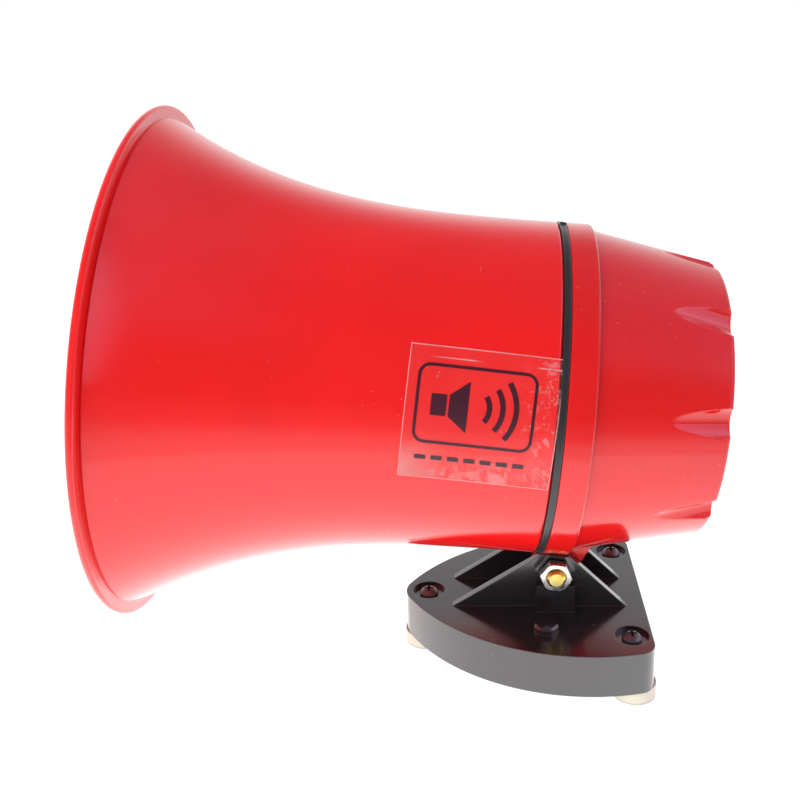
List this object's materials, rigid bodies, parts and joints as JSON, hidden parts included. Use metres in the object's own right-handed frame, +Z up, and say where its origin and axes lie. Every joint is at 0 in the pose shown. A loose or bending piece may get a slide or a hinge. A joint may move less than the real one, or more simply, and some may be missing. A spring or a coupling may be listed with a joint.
{
  "type": "alarm siren",
  "caption": "Alarm siren: a flared horn with a folded sound path and a built-in driver and tone board, tilting between the ears of a three-cornered screw-down bracket.",
  "frame": {"origin": "on the plane of the foot washers' undersides, straight below the tilt pivot", "axes": "+Z up, away from the surface it is screwed to; +X from the mouth towards the rear; +Y along the pivot bolt, towards its head"},
  "size_m": [0.1614, 0.14, 0.16],
  "materials": {
    "red_plastic": "glossy moulded ABS",
    "black_plastic": "glossy moulded plastic",
    "dark_plastic": "matt moulded plastic",
    "white_plastic": "matt moulded plastic",
    "cream_nylon": "natural nylon",
    "black_steel": "black zinc",
    "yellow_zinc": "yellow zinc plate",
    "zinc": "bright zinc plate",
    "fibre": "vulcanised fibre",
    "bronze": "sintered bronze",
    "black_rubber": "moulded rubber",
    "steel_plate": "plated steel",
    "ferrite": "ground ferrite",
    "brass_tag": "tinned brass",
    "lead_sleeve": "insulated lead",
    "board_green": "solder mask",
    "winding_tape": "polyester tape",
    "can_sleeve": "shrunk sleeve",
    "aluminium_sink": "extruded",
    "blue_plastic": "moulded plastic",
    "resistor_body": "lacquered",
    "terminal_green": "moulded plastic",
    "label_film": "clear printed film",
    "diaphragm_film": "phenolic film",
    "copper": "enamelled copper wire"
  },
  "bodies": {
    "bracket": {"bracket_base": "black_plastic", "foot_washers": "cream_nylon", "base_screws": "black_steel", "pivot_bolt": "yellow_zinc", "pivot_spring_washer": "zinc", "pivot_nut": "zinc", "friction_washers": "fibre"},
    "horn": {"pivot_bush": "bronze", "bell": "red_plastic", "throat_tube": "red_plastic", "tube_screws": "zinc", "reflector_cup": "red_plastic", "turning_cone": "red_plastic", "cup_screw": "zinc", "flange_gasket": "black_rubber", "housing_screws": "zinc", "rear_housing": "red_plastic", "throat_plate": "dark_plastic", "phase_plug": "white_plastic", "clamp_ring": "dark_plastic", "top_plate": "steel_plate", "magnet": "ferrite", "pole_yoke": "steel_plate", "driver_screws": "zinc", "coil_terminals": "brass_tag", "coil_leads": "lead_sleeve", "circuit_board": "board_green", "board_screws": "zinc", "transformer_core": "ferrite", "transformer_winding": "winding_tape", "capacitors": "can_sleeve", "power_transistors": "dark_plastic", "heat_sink": "aluminium_sink", "tone_chip": "dark_plastic", "volume_trimmer": "blue_plastic", "resistors": "resistor_body", "supply_terminal": "terminal_green", "cable_grommet": "black_rubber", "front_label": "label_film"},
    "moving_coil": {"diaphragm": "diaphragm_film", "voice_coil": "copper"}
  },
  "joints": [
    {"name": "horn_tilt", "type": "hinge", "parent": "bracket", "child": "horn", "pos_m": [0, 0, 0.0283], "axis": [0, 1, 0], "range_deg": [-9, 40]},
    {"name": "diaphragm_travel", "type": "slide", "parent": "horn", "child": "moving_coil", "axis": [0.9963, 0, -0.0854], "range_m": [-0.0004, 0.0004], "stiffness_N_per_m": 1500}
  ]
}
